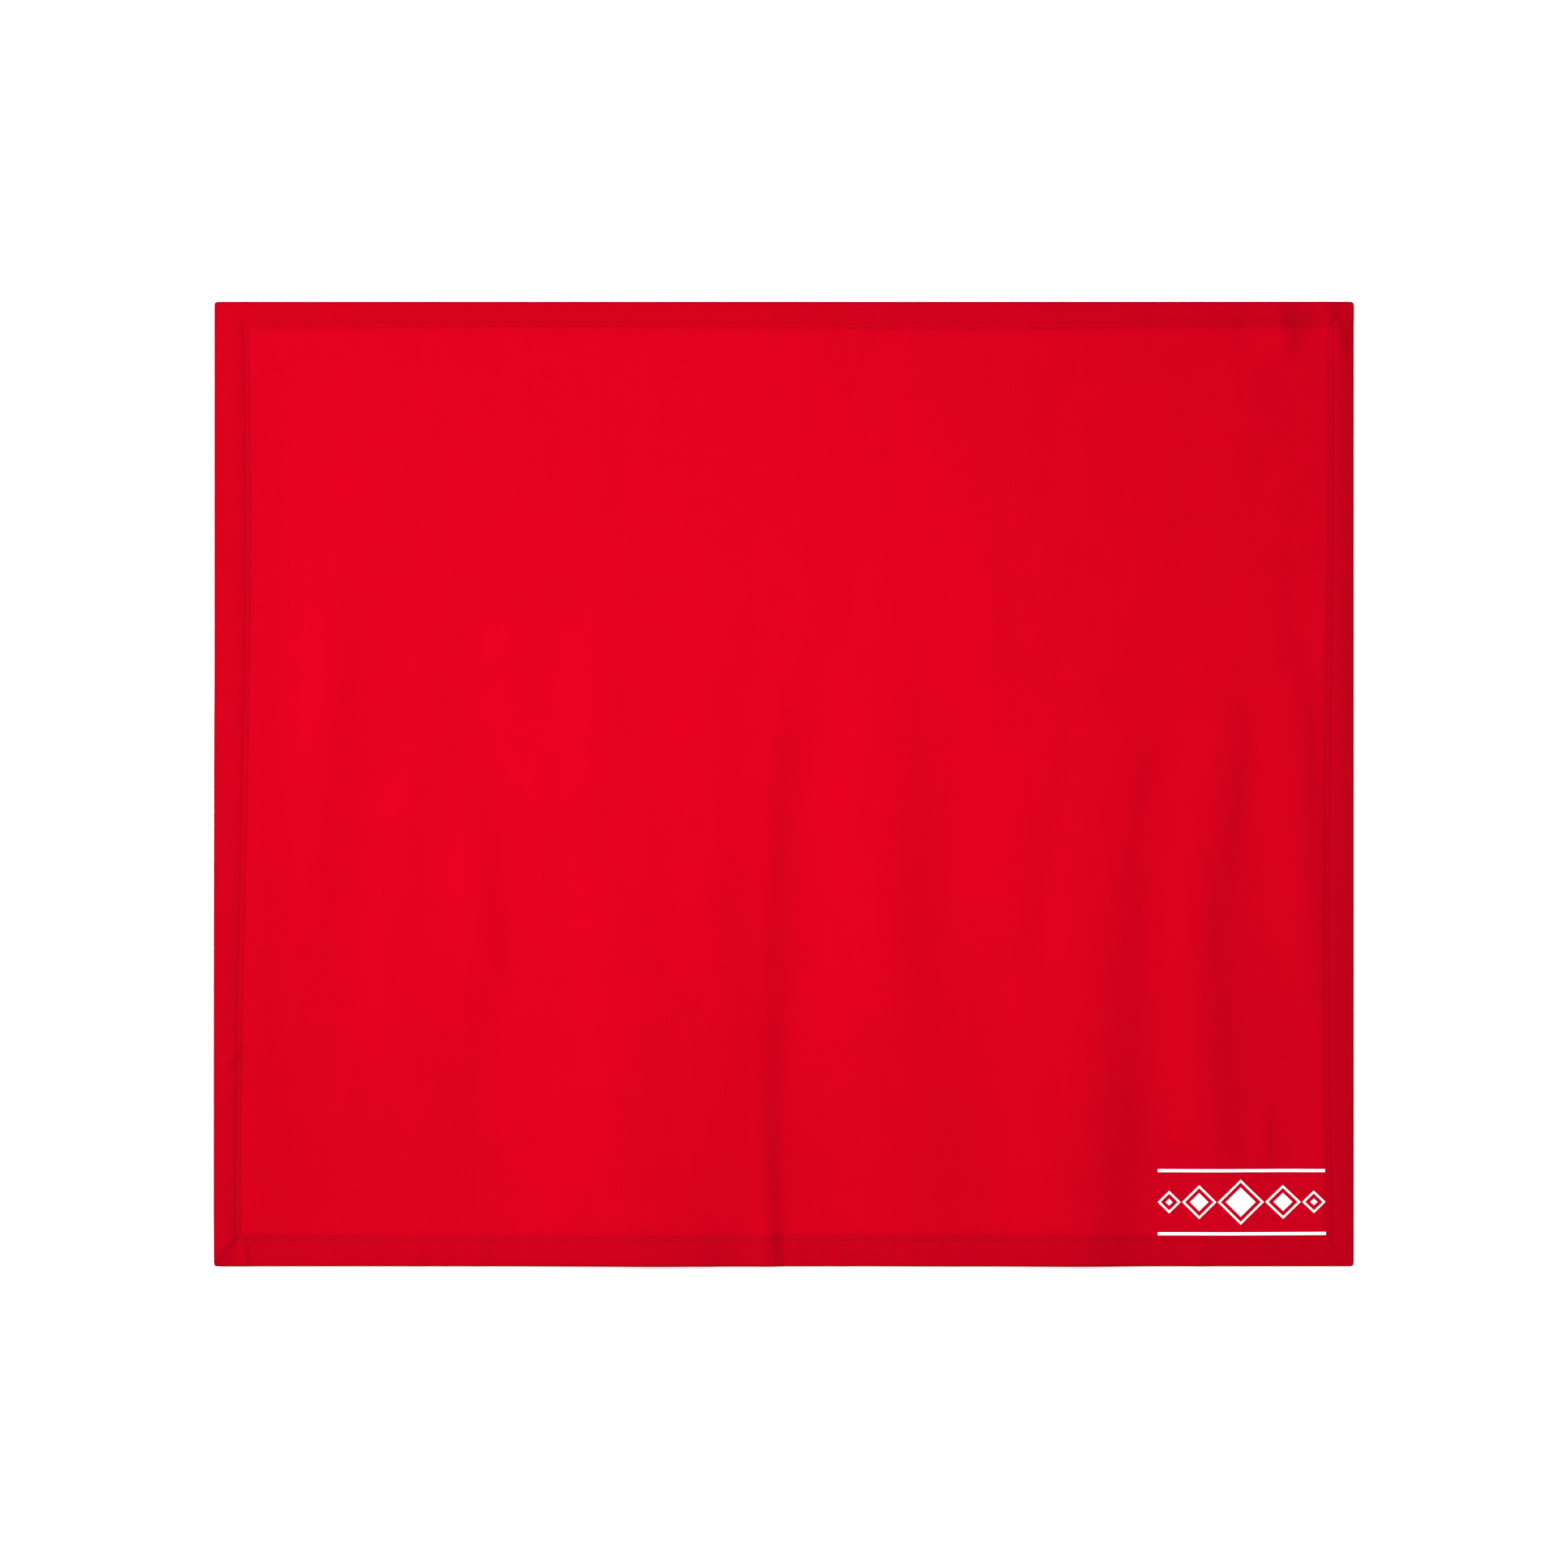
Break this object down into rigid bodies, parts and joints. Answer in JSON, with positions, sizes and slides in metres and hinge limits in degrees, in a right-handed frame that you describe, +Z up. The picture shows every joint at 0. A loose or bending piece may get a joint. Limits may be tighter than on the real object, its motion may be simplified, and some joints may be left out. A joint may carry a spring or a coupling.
{
  "type": "hemmed fleece blanket",
  "caption": "Rectangular sweatshirt-fleece blanket laid flat and face up, hemmed all round with a twin-needle seam and mitred corners, folding in half.",
  "frame": {"origin": "middle of the blanket, on the surface that it lies on", "axes": "+Z up out of the blanket's face, +X to its right-hand edge, +Y to its top edge"},
  "size_m": [1.5, 1.27, 0.0041],
  "materials": {
    "fleece": "red cotton-polyester sweatshirt fleece: smooth jersey face, brushed back",
    "sewing_thread": "red spun polyester sewing thread, matched to the cloth",
    "print_ink": "white matt screen-print ink",
    "label_satin": "white woven polyester satin ribbon, blank"
  },
  "bodies": {
    "lower_half": {"fleece_panel_lower": "fleece", "bottom_hem": "fleece", "bottom_looper_thread": "sewing_thread", "bottom_needle_threads": "sewing_thread", "left_hem_lower": "fleece", "left_looper_thread_lower": "sewing_thread", "left_needle_threads_lower": "sewing_thread", "right_hem_lower": "fleece", "right_looper_thread_lower": "sewing_thread", "right_needle_threads_lower": "sewing_thread", "mitre_seam_bottom_left": "sewing_thread", "mitre_seam_bottom_right": "sewing_thread", "corner_print": "print_ink"},
    "upper_half": {"fleece_panel_upper": "fleece", "top_hem": "fleece", "top_looper_thread": "sewing_thread", "top_needle_threads": "sewing_thread", "left_hem_upper": "fleece", "left_looper_thread_upper": "sewing_thread", "left_needle_threads_upper": "sewing_thread", "right_hem_upper": "fleece", "right_looper_thread_upper": "sewing_thread", "right_needle_threads_upper": "sewing_thread", "mitre_seam_top_left": "sewing_thread", "mitre_seam_top_right": "sewing_thread", "care_label": "label_satin"}
  },
  "joints": [
    {"name": "half_fold", "type": "hinge", "parent": "lower_half", "child": "upper_half", "pos_m": [0, 0, 0.0075], "axis": [1, 0, 0], "range_deg": [0, 180]}
  ]
}
